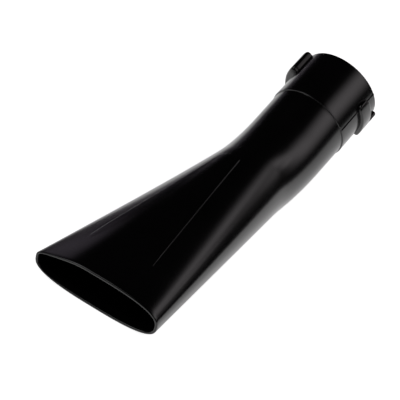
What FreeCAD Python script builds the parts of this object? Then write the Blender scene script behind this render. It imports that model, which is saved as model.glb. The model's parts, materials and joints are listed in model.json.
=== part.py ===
# A leaf blower's nozzle tube, moulded in one piece of black plastic.
# The collar slides over the blower's pipe, whose two pins run into bayonet channels and lock
# there with a turn. The neck bends upwards, and the flare spreads it from a round section to
# a wide, flat outlet. It is drawn with the collar's rim at the origin and the air running
# along +X, and is then laid on the flare's belly, as it comes to rest on a table.
import FreeCAD
import Part
import Sketcher
import os
from math import atan, atan2, copysign, cos, degrees, hypot, pi, sin

from FreeCAD import Placement, Rotation, Vector

# Driving sizes in millimetres and degrees; angles round the collar count from its top to the right
SIZES = {
    # collar
    "pipe_radius": 35.2,
    "socket_clearance": 0.3,
    "wall": 2.5,
    "socket_depth": 50.0,
    "socket_stop": 3.0,
    "seam_step": 0.85,
    "seam_round": 0.5,
    # neck, bend and flare; the mouth is an oval, whose corners are fuller than an ellipse's
    "neck_length": 31.7,
    "bend_radius": 171.0,
    "bend_angle": 20.5,
    "flare_length": 224.0,
    "throat_half_height": 33.0,
    "throat_spread": 4.4,
    "mouth_half_width": 60.4,
    "mouth_half_height": 16.2,
    "mouth_fullness": 0.8,
    "lip_bevel": 0.7,
    # bayonet channels: a leg from the rim, and a foot that turns off its end
    "channel_length": 26.0,
    "leg_angle": 115.5,
    "leg_width": 15.0,
    "foot_width": 15.0,
    "foot_sweep": 53.0,
    "corner_round": 6.0,
    "right_height": 3.5,
    "right_round": 2.0,
    "left_height": 6.2,
    "left_round": 3.0,
    # low ribs along the collar
    "rib_angle": 70.0,
    "rib_width": 1.4,
    "rib_height": 0.8,
    # raised panel on the flare: its ends along the flare, and its edges across it
    "panel_start": 18.0,
    "panel_end": 193.0,
    "panel_start_left": -21.7,
    "panel_start_right": -2.6,
    "panel_end_left": -39.6,
    "panel_end_right": 25.5,
    "panel_height": 1.0,
}

BORE = "(sizes.pipe_radius + sizes.socket_clearance)"
COLLAR = f"({BORE} + sizes.wall)"
BODY = f"({COLLAR} - sizes.seam_step)"
# The collar runs past the socket, by the ring that stops the pipe
COLLAR_LENGTH = "(sizes.socket_depth + sizes.socket_stop)"
BEND_START = f"({COLLAR_LENGTH} + sizes.neck_length)"
THROAT_TALL = "sizes.throat_half_height"
THROAT_WIDE = "(sizes.throat_half_height + sizes.throat_spread)"
# What is added to the collar starts halfway into its wall, so that it grows out of it, and
# what is cut into it starts inside the bore
ROOT = f"({BORE} + sizes.wall / 2)"
INSIDE = f"({BORE} - sizes.wall)"
# The two channels and ribs lie on opposite sides of the collar
SIDES = {"right": 0, "left": 180}

# Numbers by which the sketcher calls its origin and a curve's points
START, END, CENTRE = range(1, 4)
ORIGIN = (-1, START)
# Shares of a turn or a length at which sections of the oval, the bend and the flare are drawn
OVAL_TURNS = [step / 16 for step in range(16)]
BEND_SHARES = [step / 6 for step in range(7)]
FLARE_SHARES = [step / 16 for step in range(1, 17)]
# An edge is known by points along it, which lie as near as this to where they should
NEAR = 0.01

doc = FreeCAD.newDocument("nozzle_tube")
sheet = doc.addObject("Spreadsheet::Sheet", "sizes")
for row, (alias, size) in enumerate(SIZES.items(), start=1):
    sheet.set(f"A{row}", alias)
    sheet.set(f"B{row}", str(size))
    sheet.setAlias(f"B{row}", alias)
doc.recompute()

body = doc.addObject("PartDesign::Body", "nozzle_tube")
body.Label = "nozzle_tube"
body.AllowCompound = True
planes = {feature.Role: feature for feature in body.Origin.OriginFeatures}


def value(expression):
    """Number that an expression of the sheet's sizes comes to."""
    return float(body.evalExpression(expression))


def constrain(sketch, *args):
    return sketch.addConstraint(Sketcher.Constraint(*args))


def dimension(sketch, expression, *args):
    """Dimension bound to an expression of the sheet's sizes."""
    number = constrain(sketch, *args, value(expression))
    sketch.setExpression(f"Constraints[{number}]", expression)


def chain(sketch, edges):
    """Joins a sketch's first edges end to start, into one closed outline."""
    for edge in range(edges):
        constrain(sketch, "Coincident", edge, END, (edge + 1) % edges, START)


def turned_sketch(name, plane, axis, angle):
    """Empty sketch on one of the body's origin planes, turned by an angle."""
    sketch = body.newObject("Sketcher::SketchObject", name)
    sketch.AttachmentSupport = [(planes[plane], "")]
    sketch.MapMode = "FlatFace"
    sketch.AttachmentOffset = Placement(Vector(0, 0, 0), Rotation(axis, 1))
    sketch.setExpression("AttachmentOffset.Rotation.Angle", angle)
    return sketch


def across_duct(name, turn, run):
    """Sketch across the duct, a share of the bend's turn on and then a straight run further."""
    angle = f"({turn} * sizes.bend_angle)"
    sketch = turned_sketch(name, "YZ_Plane", Vector(-1, 0, 0), angle)
    along = f"{BEND_START} + sizes.bend_radius * sin({angle}) + {run} * cos({angle})"
    above = f"sizes.bend_radius * (1 - cos({angle})) + {run} * sin({angle})"
    sketch.setExpression("AttachmentOffset.Base.z", along)
    sketch.setExpression("AttachmentOffset.Base.y", above)
    return sketch


def circle_across(name, run, radius):
    sketch = across_duct(name, 0, run)
    sketch.addGeometry(Part.Circle(Vector(0, 0, 0), Vector(0, 0, 1), value(radius)))
    constrain(sketch, "Coincident", 0, CENTRE, *ORIGIN)
    dimension(sketch, radius, "Radius", 0)
    return sketch


def oval_across(name, turn, run, half_width, half_height, fullness):
    """Oval across the duct: an ellipse at a fullness of 0, and squarer the higher it is."""
    sketch = across_duct(name, turn, run)
    wide = value(half_width)
    tall = value(half_height)
    power = 2 / (2 + value(fullness))
    points = []
    for share in OVAL_TURNS:
        across = cos(2 * pi * share)
        above = sin(2 * pi * share)
        across = copysign(abs(across) ** power, across) * wide
        above = copysign(abs(above) ** power, above) * tall
        points.append(Vector(across, above, 0))
    curve = Part.BSplineCurve()
    curve.interpolate(Points=points, PeriodicFlag=True)
    sketch.addGeometry(curve)
    return sketch


def along_collar(kind, name, radius, length):
    """Round pad or pocket from the rim towards the outlet."""
    feature = body.newObject(f"PartDesign::{kind}", name)
    feature.Profile = circle_across(f"{name}_outline", f"(-{BEND_START})", radius)
    feature.Reversed = kind == "Pocket"
    feature.setExpression("Length", length)
    return feature


def sector(kind, name, angles, span, radii):
    """Block or cut round the collar: between two angles, two places along it and two radii."""
    first, last = angles
    middle = f"(({first} + {last}) / 2)"
    sketch = turned_sketch(f"{name}_outline", "XZ_Plane", Vector(-1, 0, 0), middle)
    near, far = span
    low, high = radii
    places = [(near, low), (far, low), (far, high), (near, high)]
    corners = [Vector(value(along), value(out), 0) for along, out in places]
    for edge in range(4):
        sketch.addGeometry(Part.LineSegment(corners[edge], corners[(edge + 1) % 4]))
    chain(sketch, 4)
    for edge, direction in enumerate(("Horizontal", "Vertical", "Horizontal", "Vertical")):
        constrain(sketch, direction, edge)
    dimension(sketch, near, "DistanceX", *ORIGIN, 0, START)
    dimension(sketch, far, "DistanceX", *ORIGIN, 0, END)
    dimension(sketch, low, "DistanceY", *ORIGIN, 0, START)
    dimension(sketch, high, "DistanceY", *ORIGIN, 2, START)
    feature = body.newObject(f"PartDesign::{kind}", name)
    feature.Profile = sketch
    feature.ReferenceAxis = (sketch, ["H_Axis"])
    feature.Midplane = True
    feature.setExpression("Angle", f"{last} - {first}")
    return feature


def arc_angle(width, radius):
    """Angle in degrees that a width covers at a radius."""
    return f"({width} / {radius} * 180 / pi)"


def channel_block(side):
    """Outside of a bayonet channel, an L whose corners and top edges are rounded."""
    middle = f"(sizes.leg_angle + {SIDES[side]})"
    top = f"({COLLAR} + sizes.{side}_height)"
    half_leg = arc_angle("sizes.leg_width / 2", top)
    foot_end = f"({middle} - sizes.foot_sweep)"
    leg_near = f"({middle} - {half_leg})"
    leg_far = f"({middle} + {half_leg})"
    length = "sizes.channel_length"
    sector("Revolution", f"{side}_channel", (foot_end, leg_far), ("0", length), (ROOT, top))
    past_end = f"({foot_end} - {half_leg})"
    beside_leg = ("0", f"({length} - sizes.foot_width)")
    through = (INSIDE, f"({top} + sizes.wall)")
    sector("Groove", f"{side}_step", (past_end, leg_near), beside_leg, through)
    ends = (value(foot_end), value(leg_far))
    ease_edges("Fillet", f"{side}_corners", "sizes.corner_round", lambda edge: is_corner(edge, ends))
    ease_edges("Fillet", f"{side}_edges", f"sizes.{side}_round", lambda edge: is_on_top(edge, value(top)))


def channel_slot(side):
    """Inside of a bayonet channel, where the pin runs in from the rim and turns."""
    middle = f"(sizes.leg_angle + {SIDES[side]})"
    top = f"({BORE} + sizes.{side}_height)"
    half_slot = arc_angle("(sizes.leg_width / 2 - sizes.wall)", top)
    length = "(sizes.channel_length - sizes.wall)"
    leg = (f"({middle} - {half_slot})", f"({middle} + {half_slot})")
    sector("Groove", f"{side}_slot", leg, ("0", length), (INSIDE, top))
    foot = (f"({middle} - sizes.foot_sweep + {arc_angle('sizes.wall', top)})", middle)
    turn = ("(sizes.channel_length - sizes.foot_width + sizes.wall)", length)
    sector("Groove", f"{side}_turn", foot, turn, (INSIDE, top))


def rib(side):
    """Low rib along the collar, from the rim to the seam."""
    middle = f"(sizes.rib_angle + {SIDES[side]})"
    half = arc_angle("sizes.rib_width / 2", COLLAR)
    sides = (f"({middle} - {half})", f"({middle} + {half})")
    radii = (ROOT, f"({COLLAR} + sizes.rib_height)")
    sector("Revolution", f"{side}_rib", sides, ("0", COLLAR_LENGTH), radii)


def flare_wide(share):
    """Half the flare's width at a share of its length."""
    return f"({THROAT_WIDE} + (sizes.mouth_half_width - {THROAT_WIDE}) * {share})"


def flare_tall(share):
    """Half the flare's height at a share of its length."""
    return f"({THROAT_TALL} + (sizes.mouth_half_height - {THROAT_TALL}) * {share})"


def loft(kind, name, sections):
    feature = body.newObject(f"PartDesign::{kind}", name)
    feature.Profile = sections[0]
    feature.Sections = sections[1:]
    feature.Ruled = True
    return feature


def duct(kind, name, inset):
    """Neck, bend and flare from the collar to the mouth, each section smaller by an inset."""
    socket_end = f"(sizes.socket_depth - {BEND_START})"
    round_end = f"({BODY} - {inset})"
    sections = [oval_across(f"{name}_seam", 0, socket_end, round_end, round_end, "0")]
    # The section flattens by a third along the neck, and by the rest round the bend
    for number, turn in enumerate(BEND_SHARES):
        share = f"(1 + 2 * {turn}) / 3"
        wide = f"{BODY} + ({THROAT_WIDE} - {BODY}) * {share} - {inset}"
        tall = f"{BODY} + ({THROAT_TALL} - {BODY}) * {share} - {inset}"
        sections.append(oval_across(f"{name}_bend_{number}", turn, "0", wide, tall, "0"))
    for number, share in enumerate(FLARE_SHARES):
        wide = f"{flare_wide(share)} - {inset}"
        tall = f"{flare_tall(share)} - {inset}"
        run = f"({share} * sizes.flare_length)"
        full = f"({share} * sizes.mouth_fullness)"
        sections.append(oval_across(f"{name}_flare_{number}", 1, run, wide, tall, full))
    loft(kind, name, sections)
    return sections[-1]


def panel_section(name, share):
    """The panel's section at a share of its length: a strip whose top follows the flare."""
    run = f"(sizes.panel_start + (sizes.panel_end - sizes.panel_start) * {share})"
    along = f"({run} / sizes.flare_length)"
    wide = f"({flare_wide(along)} + sizes.panel_height)"
    tall = f"({flare_tall(along)} + sizes.panel_height)"
    power = f"(2 + {along} * sizes.mouth_fullness)"
    right, left = [
        f"(sizes.panel_start_{side} + (sizes.panel_end_{side} - sizes.panel_start_{side}) * {share})"
        for side in ("right", "left")
    ]
    across = [right, left, f"(({right} + {left}) / 2)"]
    above = [f"({tall} * (1 - abs({place} / {wide}) ^ {power}) ^ (1 / {power}))" for place in across]
    points = [Vector(value(place), value(height), 0) for place, height in zip(across, above)]
    first, last, crown = points
    depth = "(sizes.panel_height + sizes.wall / 2)"
    down = Vector(0, -value(depth), 0)
    sketch = across_duct(name, 1, run)
    sketch.addGeometry(Part.Arc(first, crown, last))
    sketch.addGeometry(Part.LineSegment(last, last + down))
    sketch.addGeometry(Part.LineSegment(last + down, first + down))
    sketch.addGeometry(Part.LineSegment(first + down, first))
    sketch.addGeometry(Part.Point(crown), True)
    chain(sketch, 4)
    constrain(sketch, "Vertical", 1)
    constrain(sketch, "Vertical", 3)
    constrain(sketch, "PointOnObject", 4, START, 0)
    for place, height, point in zip(across, above, ((0, START), (0, END), (4, START))):
        dimension(sketch, place, "DistanceX", *ORIGIN, *point)
        dimension(sketch, height, "DistanceY", *ORIGIN, *point)
    dimension(sketch, depth, "DistanceY", 1, END, 1, START)
    dimension(sketch, depth, "DistanceY", 3, START, 3, END)
    return sketch


def is_near(first, second):
    return abs(first - second) < NEAR


def points_along(edge):
    """Both ends of an edge and three points between them."""
    return edge.discretize(5)


def is_corner(edge, angles):
    """True for a radial edge at one of two angles about the collar's axis, away from the rim."""
    points = points_along(edge)
    radial = is_near(points[0].x, points[-1].x) and not is_near(points[0].x, 0)
    turns = [degrees(atan2(point.y, point.z)) for point in points]
    at_angle = [all(is_near((turn - angle + 180) % 360, 180) for turn in turns) for angle in angles]
    return radial and any(at_angle)


def is_on_top(edge, radius):
    """True for an edge at a radius from the collar's axis, apart from those on the rim."""
    points = points_along(edge)
    on_rim = all(is_near(point.x, 0) for point in points)
    return not on_rim and all(is_near(hypot(point.y, point.z), radius) for point in points)


def is_on_plane(edge, placement):
    """True for an edge that lies in the plane of a placement."""
    points = [placement.inverse().multVec(point) for point in points_along(edge)]
    return all(is_near(point.z, 0) for point in points)


def ease_edges(kind, name, size, chosen):
    """Fillet or chamfer on the edges of the body so far for which a test is true."""
    doc.recompute()
    base = body.Tip
    edges = [f"Edge{number}" for number, edge in enumerate(base.Shape.Edges, start=1) if chosen(edge)]
    feature = body.newObject(f"PartDesign::{kind}", name)
    feature.Base = (base, edges)
    feature.setExpression("Radius" if kind == "Fillet" else "Size", size)


# Collar: the channels' outsides, the ring itself, its ribs, the socket and the slots for the pins
for side in SIDES:
    channel_block(side)
along_collar("Pad", "collar", COLLAR, COLLAR_LENGTH)
collar_end = Placement(Vector(value(COLLAR_LENGTH), 0, 0), Rotation(Vector(0, 1, 0), 90))
ease_edges("Fillet", "seam", "sizes.seam_round", lambda edge: is_on_plane(edge, collar_end))
for side in SIDES:
    rib(side)
along_collar("Pocket", "socket", BORE, "sizes.socket_depth")
for side in SIDES:
    channel_slot(side)

# Duct: its outside, the raised panel on the flare, its inside and the lip
duct("AdditiveLoft", "duct_outside", "0")
loft("AdditiveLoft", "panel", [panel_section(f"panel_{share}", share / 2) for share in range(3)])
mouth = duct("SubtractiveLoft", "duct_inside", "sizes.wall")
ease_edges("Chamfer", "lip", "sizes.lip_bevel", lambda edge: is_on_plane(edge, mouth.Placement))
doc.recompute()

# It rests on the flare's belly, with the collar in the air
rise = SIZES["throat_half_height"] - SIZES["mouth_half_height"]
tilt = SIZES["bend_angle"] + degrees(atan(rise / SIZES["flare_length"]))
body.Placement = Placement(Vector(0, 0, 0), Rotation(Vector(0, 1, 0), tilt))
box = body.Shape.optimalBoundingBox()
body.Placement.Base = Vector(-box.Center.x, 0, -box.ZMin)
doc.recompute()

failed = [item.Name for item in doc.Objects if "Invalid" in item.State or "Error" in item.State]
if failed or body.Shape.isNull() or not body.Shape.isValid():
    raise RuntimeError(f"not built: {failed}")
os.makedirs("parts", exist_ok=True)
body.Shape.exportStep(f"parts/{body.Label}.step")
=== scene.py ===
import json
from math import asin, atan2, ceil, copysign, cos, pi, radians, sin, tan

import bmesh
import bpy
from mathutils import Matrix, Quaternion, Vector


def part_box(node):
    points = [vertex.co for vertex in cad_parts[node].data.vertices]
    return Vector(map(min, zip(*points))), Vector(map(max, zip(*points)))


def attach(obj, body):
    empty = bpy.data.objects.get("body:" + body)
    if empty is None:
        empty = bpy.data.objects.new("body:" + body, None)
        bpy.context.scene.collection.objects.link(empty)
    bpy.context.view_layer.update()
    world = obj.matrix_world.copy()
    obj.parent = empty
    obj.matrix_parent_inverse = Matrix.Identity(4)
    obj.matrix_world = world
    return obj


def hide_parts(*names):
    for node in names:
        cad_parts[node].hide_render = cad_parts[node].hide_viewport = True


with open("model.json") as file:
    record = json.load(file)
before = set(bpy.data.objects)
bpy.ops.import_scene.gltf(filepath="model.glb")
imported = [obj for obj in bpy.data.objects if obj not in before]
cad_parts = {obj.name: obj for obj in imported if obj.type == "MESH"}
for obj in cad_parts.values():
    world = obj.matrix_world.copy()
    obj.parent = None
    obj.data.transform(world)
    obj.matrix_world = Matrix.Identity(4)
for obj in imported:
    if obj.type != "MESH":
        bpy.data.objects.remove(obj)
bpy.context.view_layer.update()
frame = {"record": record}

# Black polypropylene, injection moulded in a tool with a fine spark-eroded finish. To the eye it is
# nearly black with a soft, satin gloss; a fine grain breaks the gloss up, and the flow of the plastic
# leaves it a little glossier in some places than in others.
MM = 0.001
black_deep = "#030303"
black_grey = "#09080a"
plastic_ior = 1.49
roughness_range = (0.19, 0.24)
grain_size = 0.9
grain_height = 0.012
grain_detail = 3.0
flow_size = 45.0
flow_detail = 2.0


def linear(hex_colour):
    """Linear colour with alpha for an sRGB hex value."""
    shares = [int(hex_colour[start:start + 2], 16) / 255 for start in (1, 3, 5)]
    return [s / 12.92 if s <= 0.04045 else ((s + 0.055) / 1.055) ** 2.4 for s in shares] + [1.0]


def add_node(tree, kind, inputs=None, **settings):
    """Adds a node to a tree; inputs go by index or name, and take a value or another node's output."""
    node = tree.nodes.new(kind)
    for name, setting in settings.items():
        setattr(node, name, setting)
    for key, source in (inputs or {}).items():
        if isinstance(source, bpy.types.NodeSocket):
            tree.links.new(source, node.inputs[key])
        else:
            node.inputs[key].default_value = source
    return node


plastic = bpy.data.materials.new("black_polypropylene_moulded_satin")
plastic.use_nodes = True
tree = plastic.node_tree
shader = tree.nodes["Principled BSDF"]
shader.inputs["IOR"].default_value = plastic_ior
place = add_node(tree, "ShaderNodeTexCoord").outputs["Object"]
flow = add_node(tree, "ShaderNodeTexNoise",
                {"Vector": place, "Scale": 1 / (flow_size * MM), "Detail": flow_detail})
colour = add_node(tree, "ShaderNodeMix", {0: flow.outputs[0], 6: linear(black_deep), 7: linear(black_grey)},
                  data_type="RGBA")
tree.links.new(colour.outputs[2], shader.inputs["Base Color"])
gloss = add_node(tree, "ShaderNodeMapRange",
                 {0: flow.outputs[0], 3: roughness_range[0], 4: roughness_range[1]})
tree.links.new(gloss.outputs[0], shader.inputs["Roughness"])
grain = add_node(tree, "ShaderNodeTexNoise",
                 {"Vector": place, "Scale": 1 / (grain_size * MM), "Detail": grain_detail})
bump = add_node(tree, "ShaderNodeBump",
                {"Strength": 1.0, "Distance": grain_height * MM, "Height": grain.outputs[0]})
tree.links.new(bump.outputs[0], shader.inputs["Normal"])

# Tube wall: the collar, the bent neck and the flare, moulded in one shot with an even wall. Its section,
# from the rim along the outside to the lip and back through the socket, is carried round the tube,
# and a node tree bends it and spreads it from round at the collar to wide and flat at the mouth.
socket = next(mount for mount in frame["record"]["mounts"] if mount["name"] == "pipe_socket")
bore_radius = socket["dims"]["r_mm"]
socket_depth = socket["dims"]["length_mm"]
out_of_socket = Vector(socket["axis"])
rim_centre = Vector(socket["pos_m"]) + out_of_socket * socket_depth / 2 * MM
tilt = atan2(out_of_socket.z, -out_of_socket.x)

wall = 2.5
collar_past_socket = 3.0
seam_step = 0.85
bend_start = 84.7
bend_radius = 171.0
bend_angle = 20.5
flare_length = 224.0
throat_half_height = 33.0
throat_half_width = 37.4
kink_softness = 18.0
mouth_half_width = 60.4
mouth_half_height = 16.2
mouth_fullness = 0.8
left_corner_easing = 2.5
rim_round = 0.4
seam_round = 0.5
seam_root = 0.25
lip_round = 1.15
row_spacing = 3.0
columns = 160

collar_radius = bore_radius + wall
neck_radius = collar_radius - seam_step
collar_length = socket_depth + collar_past_socket
bend_length = bend_radius * radians(bend_angle)
throat = bend_start + bend_length
tube_length = throat + flare_length
# Heights over the neck's skin, which the section and everything on the tube are drawn from
collar_skin = collar_radius - neck_radius
bore_skin = bore_radius - neck_radius


def rounded(corners, steps=5):
    """Closed outline through corners (x, y, radius), where a corner with a radius is an arc."""
    points = []
    for index, (x, y, radius) in enumerate(corners):
        here = Vector((x, y))
        if not radius:
            points.append(here)
            continue
        back = (Vector(corners[index - 1][:2]) - here).normalized()
        ahead = (Vector(corners[(index + 1) % len(corners)][:2]) - here).normalized()
        half = back.angle(ahead) / 2
        centre = here + (back + ahead).normalized() * radius / sin(half)
        first = here + back * radius / tan(half) - centre
        last = here + ahead * radius / tan(half) - centre
        points += [centre + first.slerp(last, step / steps) * radius for step in range(steps + 1)]
    return points


def divided(points, longest):
    """The same closed outline, with its long edges cut into equal steps."""
    result = []
    for here, ahead in zip(points, points[1:] + points[:1]):
        count = ceil((ahead - here).length / longest)
        result += [here.lerp(ahead, step / count) for step in range(count)]
    return result


def roll_up_tree():
    """Node tree that takes a mesh drawn flat (along, angle, height over the neck's skin) onto the tube."""
    rule = bpy.data.node_groups.new("roll_up_into_duct", "GeometryNodeTree")
    rule.interface.new_socket("Flat drawing", in_out="INPUT", socket_type="NodeSocketGeometry")
    sizes = {
        "Neck radius": neck_radius * MM,
        "Neck start": socket_depth * MM,
        "Throat": throat * MM,
        "Throat half width": throat_half_width * MM,
        "Throat half height": throat_half_height * MM,
        "Flare end": tube_length * MM,
        "Mouth half width": mouth_half_width * MM,
        "Mouth half height": mouth_half_height * MM,
        "Kink softness": kink_softness / flare_length,
        "Mouth fullness": mouth_fullness,
        "Left corner easing": left_corner_easing,
        "Bend start": bend_start * MM,
        "Bend length": bend_length * MM,
        "Bend radius": bend_radius * MM,
        "Tilt": tilt,
    }
    sockets = {}
    for name in sizes:
        sockets[name] = rule.interface.new_socket(name, in_out="INPUT", socket_type="NodeSocketFloat")
    sockets["Rim centre"] = rule.interface.new_socket(
        "Rim centre", in_out="INPUT", socket_type="NodeSocketVector")
    rule.interface.new_socket("On the tube", in_out="OUTPUT", socket_type="NodeSocketGeometry")
    size = rule.nodes.new("NodeGroupInput").outputs

    drawn = add_node(rule, "GeometryNodeInputPosition")
    flat = add_node(rule, "ShaderNodeSeparateXYZ", {0: drawn.outputs[0]})
    along, angle, height = flat.outputs
    # Half width and half height: from the neck to the throat, then on from the throat to the mouth
    neck = add_node(rule, "ShaderNodeCombineXYZ", {1: size["Neck radius"], 2: size["Neck radius"]})
    narrow = add_node(rule, "ShaderNodeCombineXYZ",
                      {1: size["Throat half width"], 2: size["Throat half height"]})
    wide = add_node(rule, "ShaderNodeCombineXYZ", {1: size["Mouth half width"], 2: size["Mouth half height"]})
    share = add_node(rule, "ShaderNodeMapRange", {0: along, 1: size["Neck start"], 2: size["Throat"]})
    halves = add_node(rule, "ShaderNodeMix", {0: share.outputs[0], 4: neck.outputs[0], 5: narrow.outputs[0]},
                      data_type="VECTOR")
    run = add_node(rule, "ShaderNodeMapRange", {0: along, 1: size["Throat"], 2: size["Flare end"]},
                   clamp=False)
    spread = add_node(rule, "ShaderNodeMath", {0: run.outputs[0], 1: 0.0, 2: size["Kink softness"]},
                      operation="SMOOTH_MAX")
    growth = add_node(rule, "ShaderNodeVectorMath", {0: wide.outputs[0], 1: narrow.outputs[0]},
                      operation="SUBTRACT")
    halves = add_node(rule, "ShaderNodeVectorMath",
                      {0: growth.outputs[0], 1: spread.outputs[0], 2: halves.outputs[1]},
                      operation="MULTIPLY_ADD")
    halves = add_node(rule, "ShaderNodeVectorMath", {0: halves.outputs[0], 1: height}, operation="ADD")
    # The point's place across the tube: on an ellipse, and towards the mouth on an oval with fuller
    # corners, of which the upper left one, beside the panel, stays softer
    across = add_node(rule, "ShaderNodeMath", {0: angle}, operation="SINE")
    above = add_node(rule, "ShaderNodeMath", {0: angle}, operation="COSINE")
    left = add_node(rule, "ShaderNodeMath", {0: across.outputs[0], 1: 0.0}, operation="MINIMUM")
    upper = add_node(rule, "ShaderNodeMath", {0: above.outputs[0], 1: 0.0}, operation="MAXIMUM")
    corner = add_node(rule, "ShaderNodeMath", {0: left.outputs[0], 1: upper.outputs[0]}, operation="MULTIPLY")
    eased = add_node(rule, "ShaderNodeMath", {0: corner.outputs[0], 1: size["Left corner easing"], 2: 1.0},
                     operation="MULTIPLY_ADD")
    fullness = add_node(rule, "ShaderNodeMath", {0: spread.outputs[0], 1: size["Mouth fullness"]},
                        operation="MULTIPLY")
    fullness = add_node(rule, "ShaderNodeMath", {0: fullness.outputs[0], 1: eased.outputs[0], 2: 2.0},
                        operation="MULTIPLY_ADD")
    power = add_node(rule, "ShaderNodeMath", {0: 2.0, 1: fullness.outputs[0]}, operation="DIVIDE")
    round_ring = add_node(rule, "ShaderNodeCombineXYZ", {1: across.outputs[0], 2: above.outputs[0]})
    outwards = add_node(rule, "ShaderNodeVectorMath", {0: round_ring.outputs[0]}, operation="SIGN")
    ring = add_node(rule, "ShaderNodeVectorMath", {0: round_ring.outputs[0]}, operation="ABSOLUTE")
    ring = add_node(rule, "ShaderNodeVectorMath", {0: ring.outputs[0], 1: power.outputs[0]},
                    operation="POWER")
    ring = add_node(rule, "ShaderNodeVectorMath", {0: ring.outputs[0], 1: outwards.outputs[0]},
                    operation="MULTIPLY")
    ring = add_node(rule, "ShaderNodeVectorMath", {0: ring.outputs[0], 1: halves.outputs[0]},
                    operation="MULTIPLY")
    bend_end = add_node(rule, "ShaderNodeMath", {0: size["Bend start"], 1: size["Bend length"]},
                        operation="ADD")
    arc = add_node(rule, "ShaderNodeMapRange",
                   {0: along, 1: size["Bend start"], 2: bend_end.outputs[0], 4: size["Bend length"]})
    straight = add_node(rule, "ShaderNodeMath", {0: along, 1: arc.outputs[0]}, operation="SUBTRACT")
    straight = add_node(rule, "ShaderNodeCombineXYZ", {0: straight.outputs[0]})
    point = add_node(rule, "ShaderNodeVectorMath", {0: ring.outputs[0], 1: straight.outputs[0]},
                     operation="ADD")
    # The bend turns everything past its start about a line above the tube
    pivot = add_node(rule, "ShaderNodeCombineXYZ", {0: size["Bend start"], 2: size["Bend radius"]})
    turn = add_node(rule, "ShaderNodeMath", {0: arc.outputs[0], 1: size["Bend radius"]}, operation="DIVIDE")
    bent = add_node(rule, "ShaderNodeVectorRotate",
                    {"Vector": point.outputs[0], "Center": pivot.outputs[0], "Angle": turn.outputs[0]},
                    rotation_type="Y_AXIS", invert=True)
    placed = add_node(rule, "GeometryNodeSetPosition", {0: size["Flat drawing"], "Position": bent.outputs[0]})
    lean = add_node(rule, "ShaderNodeCombineXYZ", {1: size["Tilt"]})
    laid = add_node(rule, "GeometryNodeTransform",
                    {0: placed.outputs[0], "Translation": size["Rim centre"], "Rotation": lean.outputs[0]})
    whole = add_node(rule, "GeometryNodeRealizeInstances", {0: laid.outputs[0]})
    coated = add_node(rule, "GeometryNodeSetMaterial", {0: whole.outputs[0], "Material": plastic})
    add_node(rule, "NodeGroupOutput", {0: coated.outputs[0]})
    settings = {sockets[name].identifier: amount for name, amount in sizes.items()}
    settings[sockets["Rim centre"].identifier] = rim_centre
    return rule, settings


roll_up, roll_up_settings = roll_up_tree()


def evaluated(piece):
    """A new plain mesh of what the object's modifiers give, which then come off."""
    graph = bpy.context.evaluated_depsgraph_get()
    mesh = bpy.data.meshes.new_from_object(piece.evaluated_get(graph))
    piece.modifiers.clear()
    piece.data = mesh
    return mesh


def rolled(name, points, faces):
    """Object made from a flat drawing by the node tree, with its faces turned outwards."""
    drawing = bpy.data.meshes.new(name)
    drawing.from_pydata([(along * MM, angle, height * MM) for along, angle, height in points], [], faces)
    piece = bpy.data.objects.new(name, drawing)
    bpy.context.scene.collection.objects.link(piece)
    modifier = piece.modifiers.new("roll_up", "NODES")
    modifier.node_group = roll_up
    for identifier, amount in roll_up_settings.items():
        modifier[identifier] = amount
    mesh = evaluated(piece)
    shell = bmesh.new()
    shell.from_mesh(mesh)
    bmesh.ops.recalc_face_normals(shell, faces=shell.faces)
    shell.to_mesh(mesh)
    shell.free()
    return piece


section = divided(rounded([
    (0, collar_skin, rim_round),
    (collar_length, collar_skin, seam_round),
    (collar_length, 0, seam_root),
    (tube_length, 0, lip_round),
    (tube_length, -wall, lip_round),
    (socket_depth, -wall, 0),
    (socket_depth, bore_skin, 0),
    (0, bore_skin, rim_round),
]), row_spacing)
rows = len(section)
turns = [2 * pi * column / columns for column in range(columns)]
wall_points = [(along, turn, height) for along, height in section for turn in turns]
wall_faces = []
for row in range(rows):
    for column in range(columns):
        ahead = (row + 1) % rows * columns
        beside = (column + 1) % columns
        wall_faces.append((row * columns + column, row * columns + beside, ahead + beside, ahead + column))
tube = rolled("nozzle_tube_black", wall_points, wall_faces)

# Bayonet channels: two L-shaped blocks on opposite sides of the collar, moulded with it and hollow
# inside. The pins of the blower's pipe run in at the rim and turn into the foot. The left one stands
# further out than the right one, so that the tube goes on one way only.
leg_angle = 115.5
leg_width = 15.0
channel_length = 26.0
foot_width = 15.0
foot_sweep = 53.0
corner_round = 6.0
inner_round = 1.5
least_round = 1.0
channels = {
    "right": {"turn": 0, "height": 3.5, "edge_round": 2.0},
    "left": {"turn": 180, "height": 6.2, "edge_round": 3.0},
}
strip = 1.5


def inset(outline, distance):
    """Closed outline moved inwards, to the left of its direction, by a distance."""
    result = []
    for index, here in enumerate(outline):
        first = (here - outline[index - 1]).normalized()
        last = (outline[(index + 1) % len(outline)] - here).normalized()
        inwards = Vector((-first.y - last.y, first.x + last.x)).normalized()
        result.append(here + inwards * distance / cos(first.angle(last) / 2))
    return result


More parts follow.
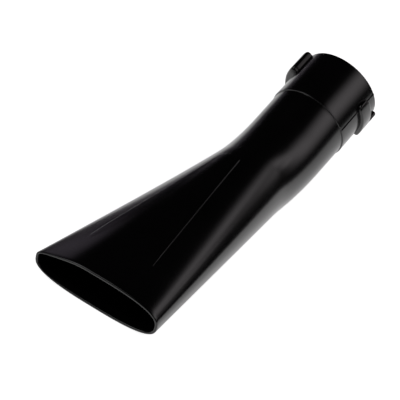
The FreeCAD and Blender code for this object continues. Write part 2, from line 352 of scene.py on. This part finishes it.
def block(name, outline, low, high, edge_round, angle_of, settle=lambda along, height: height, steps=5):
    """Block on the tube: an outline (along, across) between two heights, with its upper edge rounded.

    The angle round the tube comes from angle_of, and settle may lower a place towards the skin.
    """
    levels = [(0, low)]
    for step in range(steps + 1 if edge_round else 1):
        turn = pi / 2 * step / steps
        levels.append((edge_round * (1 - cos(turn)), high - edge_round * (1 - sin(turn))))
    shell = bmesh.new()
    rings = [[shell.verts.new((*point, level)) for point in inset(outline, back)] for back, level in levels]
    for lower, upper in zip(rings, rings[1:]):
        for here in range(len(outline)):
            ahead = (here + 1) % len(outline)
            shell.faces.new((lower[here], lower[ahead], upper[ahead], upper[here]))
    shell.faces.new(reversed(rings[0]))
    shell.faces.new(rings[-1])
    # Strips along the tube let the block follow its round skin
    places = [point.y for point in outline]
    for number in range(ceil(min(places) / strip), ceil(max(places) / strip)):
        parts = shell.verts[:] + shell.edges[:] + shell.faces[:]
        bmesh.ops.bisect_plane(shell, geom=parts, plane_co=(0, number * strip, 0), plane_no=(0, 1, 0))
    shell.verts.index_update()
    points = []
    for along, across, height in (vert.co for vert in shell.verts):
        points.append((along, angle_of(along, across), settle(along, height)))
    faces = [[vert.index for vert in face.verts] for face in shell.faces]
    shell.free()
    return rolled(name, points, faces)


def channel_outline(channel, radius, margin, start):
    """L-shaped outline round the collar at a radius, smaller by a margin, with its corners rounded."""
    middle = radians(leg_angle + channel["turn"]) * radius
    half = leg_width / 2 - margin
    end = channel_length - margin
    foot_start = channel_length - foot_width + margin
    foot_end = middle - radians(foot_sweep) * radius + margin
    outer = max(corner_round - margin, least_round)
    return rounded([
        (start, middle - half, 0),
        (foot_start, middle - half, inner_round),
        (foot_start, foot_end, outer),
        (end, foot_end, outer),
        (end, middle + half, outer),
        (start, middle + half, 0),
    ])


added = []
cut = []
sunk = -wall / 2
past_rim = 5.0
rim_gap = 0.1
for side, channel in channels.items():
    top = collar_radius + channel["height"]
    added.append(block(f"{side}_channel", channel_outline(channel, top, 0, rim_gap), sunk,
                       collar_skin + channel["height"], channel["edge_round"],
                       lambda along, across, radius=top: across / radius))
    ceiling = bore_radius + channel["height"]
    cut.append(block(f"{side}_slot", channel_outline(channel, ceiling, wall, -past_rim), bore_skin - wall,
                     bore_skin + channel["height"], 0,
                     lambda along, across, radius=ceiling: across / radius))

# Low ribs: one on each side of the collar, from the rim to the seam, moulded with it.
# They stiffen the collar beside the channels.
rib_angle = 70.0
rib_width = 1.6
rib_height = 0.8
rib_round = 0.75
for side, channel in channels.items():
    middle = radians(rib_angle + channel["turn"]) * collar_radius
    outline = [
        Vector((rim_gap, middle - rib_width / 2)),
        Vector((collar_length - seam_round, middle - rib_width / 2)),
        Vector((collar_length - seam_round, middle + rib_width / 2)),
        Vector((rim_gap, middle + rib_width / 2)),
    ]
    added.append(block(f"{side}_rib", outline, sunk, collar_skin + rib_height, rib_round,
                       lambda along, across: across / collar_radius))

# Raised panel: a long plate on top of the flare, off to its left, moulded with it. It is narrow at the
# throat and widens towards the mouth, where it runs out into the skin; its corners and edge are rounded.
panel_start = 18.0
panel_end = 193.0
panel_start_left = -21.7
panel_start_right = -2.6
panel_end_left = -39.6
panel_end_right = 25.5
panel_corner = 6.0
panel_height = 1.0
panel_round = 0.9
panel_ramp = 30.0
panel_sink = 0.3
settling_steps = 12


def flare_angle(along, across):
    """Angle round the flare of a place that lies a distance across from its middle."""
    share = (along - throat) / flare_length
    half_width = throat_half_width + (mouth_half_width - throat_half_width) * share
    angle = asin(across / half_width)
    for _ in range(settling_steps):
        eased = 1 + left_corner_easing * min(sin(angle), 0) * max(cos(angle), 0)
        power = 1 + mouth_fullness * share * eased / 2
        angle = copysign(asin(abs(across / half_width) ** power), across)
    return angle


def run_out(along, height):
    """Height of a place on the panel, whose lower end slopes down until it sinks into the flare's skin."""
    share = min((throat + panel_end - along) / panel_ramp, 1)
    return (height + panel_sink) * share - panel_sink if height > -panel_sink else height


panel_outline = divided(rounded([
    (throat + panel_start, panel_start_right, panel_corner),
    (throat + panel_start, panel_start_left, panel_corner),
    (throat + panel_end, panel_end_left, panel_corner),
    (throat + panel_end, panel_end_right, panel_corner),
]), row_spacing)
added.append(block("panel", panel_outline, sunk, panel_height, panel_round, flare_angle, run_out))

# The moulding as a whole: the raised forms join the wall, and the pins' slots are cut from inside.
# It leaves the tool as one piece of plastic, so it is one mesh with one material.
smooth_below = 35.0
for pieces, operation in ((added, "UNION"), (cut, "DIFFERENCE")):
    for piece in pieces:
        modifier = tube.modifiers.new(piece.name, "BOOLEAN")
        modifier.operation = operation
        modifier.solver = "EXACT"
        modifier.object = piece
mesh = evaluated(tube)
for piece in added + cut:
    bpy.data.objects.remove(piece)
mesh.shade_smooth()
mesh.set_sharp_from_angle(angle=radians(smooth_below))
mesh.materials.clear()
mesh.materials.append(plastic)
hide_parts("nozzle_tube")
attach(tube, "root")

# Floor: a plain pale sheet of paper that the tube lies on. The camera sees it white, with the tube's soft
# shadow, and the plastic reflects it along the lower flanks.
floor_half = 4000.0
floor_colour = "#f2f2f2"
floor_glow = 0.93
floor_mesh = bpy.data.meshes.new("floor")
reach = floor_half * MM
floor_corners = [(-reach, -reach, 0), (reach, -reach, 0), (reach, reach, 0), (-reach, reach, 0)]
floor_mesh.from_pydata(floor_corners, [], [(0, 1, 2, 3)])
floor = bpy.data.objects.new("floor", floor_mesh)
bpy.context.scene.collection.objects.link(floor)
paper = bpy.data.materials.new("matt_white_paper")
paper.use_nodes = True
tree = paper.node_tree
tree.nodes.clear()
ray = add_node(tree, "ShaderNodeLightPath")
seen = add_node(tree, "ShaderNodeMath",
                {0: ray.outputs["Is Camera Ray"], 1: ray.outputs["Is Transmission Ray"]},
                operation="MAXIMUM")
seen = add_node(tree, "ShaderNodeMath", {0: seen.outputs[0], 1: ray.outputs["Is Glossy Ray"]},
                operation="MAXIMUM")
glow = add_node(tree, "ShaderNodeMath", {0: seen.outputs[0], 1: floor_glow}, operation="MULTIPLY")
matt = add_node(tree, "ShaderNodeBsdfDiffuse", {"Color": linear(floor_colour)})
white = add_node(tree, "ShaderNodeEmission", {"Strength": glow.outputs[0]})
both = add_node(tree, "ShaderNodeAddShader", {0: matt.outputs[0], 1: white.outputs[0]})
add_node(tree, "ShaderNodeOutputMaterial", {0: both.outputs[0]})
floor_mesh.materials.append(paper)

# Studio light: softboxes and cards, each brightest in its middle. Those on the right give the long
# highlight along the tube's flank, the dim ones on the left a glow on the other flank, and those in
# front and above pick out the lip and the edges. The room around is dim.
room_level = 0.004
falloff = 2.0
warm = "#fff8fb"
cool = "#f8eaff"
plain = "#ffffff"
# Angle round from +X, angle up, distance, width and height, radiance in the middle, and tint
lamps = {
    "right_softbox": (117.7, 38.9, 1050, (780, 1110), 1.57, warm),
    "right_strip": (148.5, 45.0, 1150, (770, 400), 1.4, warm),
    "right_card": (154.5, 22.5, 440, (150, 285), 1.25, warm),
    "middle_card": (138.5, 35.5, 800, (150, 170), 1.5, warm),
    "front_softbox": (56, 38, 1100, (900, 800), 1.2, warm),
    "left_softbox": (230, 4, 1200, (900, 560), 0.19, cool),
    "left_card": (256, 20, 350, (160, 160), 0.4, cool),
    "upper_softbox": (312, 43, 1200, (800, 1100), 3.6, plain),
}
tube_middle = (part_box("nozzle_tube")[0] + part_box("nozzle_tube")[1]) / 2


def towards(round_from_x, up):
    """Direction at an angle round from +X towards +Y and an angle up from the floor."""
    level = cos(radians(up))
    turn = radians(round_from_x)
    return Vector((level * cos(turn), level * sin(turn), sin(radians(up))))


for name, (round_from_x, up, away, sides, radiance, tint) in lamps.items():
    light = bpy.data.lights.new(name, "AREA")
    light.shape = "RECTANGLE"
    light.size, light.size_y = [side * MM for side in sides]
    light.energy = radiance * pi * light.size * light.size_y
    light.color = linear(tint)[:3]
    light.use_nodes = True
    tree = light.node_tree
    tree.nodes.clear()
    # Places run from -1 to 1 across the fabric, and the light falls from its middle to nothing at its sides
    spot = add_node(tree, "ShaderNodeNewGeometry").outputs["Parametric"]
    spot = add_node(tree, "ShaderNodeVectorMath", {0: spot, 1: (2, 2, 0), 2: (-1, -1, 0)},
                    operation="MULTIPLY_ADD")
    fall = add_node(tree, "ShaderNodeVectorMath", {0: spot.outputs[0], 1: spot.outputs[0]},
                    operation="MULTIPLY")
    kept = add_node(tree, "ShaderNodeVectorMath", {0: (1, 1, 1), 1: fall.outputs[0]}, operation="SUBTRACT")
    kept = add_node(tree, "ShaderNodeSeparateXYZ", {0: kept.outputs[0]})
    level = add_node(tree, "ShaderNodeMath", {0: kept.outputs[0], 1: kept.outputs[1]}, operation="MULTIPLY")
    level = add_node(tree, "ShaderNodeMath", {0: level.outputs[0], 1: falloff}, operation="POWER")
    fabric = add_node(tree, "ShaderNodeEmission", {"Strength": level.outputs[0]})
    add_node(tree, "ShaderNodeOutputLight", {0: fabric.outputs[0]})
    stand = bpy.data.objects.new(name, light)
    direction = towards(round_from_x, up)
    stand.location = tube_middle + direction * away * MM
    stand.rotation_euler = direction.to_track_quat("Z", "Y").to_euler()
    bpy.context.scene.collection.objects.link(stand)
room = bpy.data.worlds.new("room")
room.use_nodes = True
tree = room.node_tree
tree.nodes.clear()
around = add_node(tree, "ShaderNodeBackground", {"Strength": room_level})
add_node(tree, "ShaderNodeOutputWorld", {0: around.outputs[0]})
bpy.context.scene.world = room
bpy.context.scene.view_settings.view_transform = "Standard"

# Camera: it stands to the right of the outlet and looks back and down along the tube, turned on its axis.
# A long lens from far away keeps the tube's ends nearly in proportion.
camera_aim = (36.5, -5.2, 39.8)
camera_distance = 1656.0
camera_round = 25.48
camera_up = 31.25
camera_roll = 15.7
lens = 177.5
sensor = 36.0
direction = towards(camera_round, camera_up)
camera_data = bpy.data.cameras.new("camera")
camera_data.lens = lens
camera_data.sensor_width = sensor
camera = bpy.data.objects.new("camera", camera_data)
camera.location = (Vector(camera_aim) + direction * camera_distance) * MM
camera.rotation_mode = "QUATERNION"
camera.rotation_quaternion = direction.to_track_quat("Z", "Y") @ Quaternion((0, 0, 1), radians(camera_roll))
bpy.context.scene.collection.objects.link(camera)
bpy.context.scene.camera = camera
